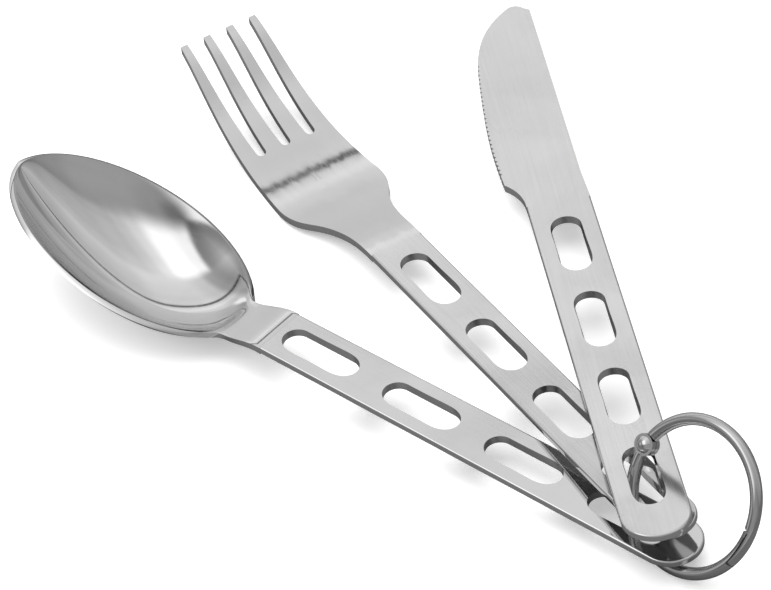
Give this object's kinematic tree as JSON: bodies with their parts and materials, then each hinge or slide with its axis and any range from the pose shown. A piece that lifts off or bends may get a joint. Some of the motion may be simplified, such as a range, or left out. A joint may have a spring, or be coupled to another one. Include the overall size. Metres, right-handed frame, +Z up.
{
  "type": "picnic cutlery set",
  "caption": "Camping spoon, fork and knife with slotted flat handles, threaded on a hinged split ring that opens to let them off.",
  "frame": {"origin": "bottom centre of the whole set's box, on the surface that the set lies on", "axes": "+Y from the ring along the fork to its tines, +X towards the knife's side, +Z up"},
  "size_m": [0.1396, 0.2104, 0.0303],
  "materials": {
    "spoon_steel": "mirror-polished stainless steel with fine wear scratches",
    "fork_steel": "mirror-polished stainless steel with fine wear scratches",
    "knife_steel": "satin stainless steel, brushed along the blade, ground edge brighter",
    "ring_wire": "nickel-plated steel wire, glossy",
    "rivet_steel": "nickel-plated steel rivet, glossy"
  },
  "bodies": {
    "ring_base": {"ring_lower_half": "ring_wire", "hinge_rivet": "rivet_steel"},
    "ring_gate_half": {"ring_upper_half": "ring_wire"},
    "spoon_body": {"spoon": "spoon_steel"},
    "fork_body": {"fork": "fork_steel"},
    "knife_body": {"knife": "knife_steel"}
  },
  "joints": [
    {"name": "ring_gate", "type": "hinge", "parent": "ring_base", "child": "ring_gate_half", "pos_m": [0.00568, -0.07196, 0.01915], "axis": [-0.8008, -0.2146, 0.5592], "range_deg": [0, 80]},
    {"name": "spoon_swing", "type": "hinge", "parent": "ring_base", "child": "spoon_body", "pos_m": [-0.00203, -0.07826, 0.00569], "axis": [0, 0, 1], "range_deg": [-3, 16]},
    {"name": "fork_swing", "type": "hinge", "parent": "ring_base", "child": "fork_body", "pos_m": [0.00059, -0.07335, 0.01133], "axis": [0, 0, 1], "range_deg": [-4, 3]},
    {"name": "knife_swing", "type": "hinge", "parent": "ring_base", "child": "knife_body", "pos_m": [0.00308, -0.07196, 0.01542], "axis": [0, 0, 1], "range_deg": [-90, 3]}
  ]
}
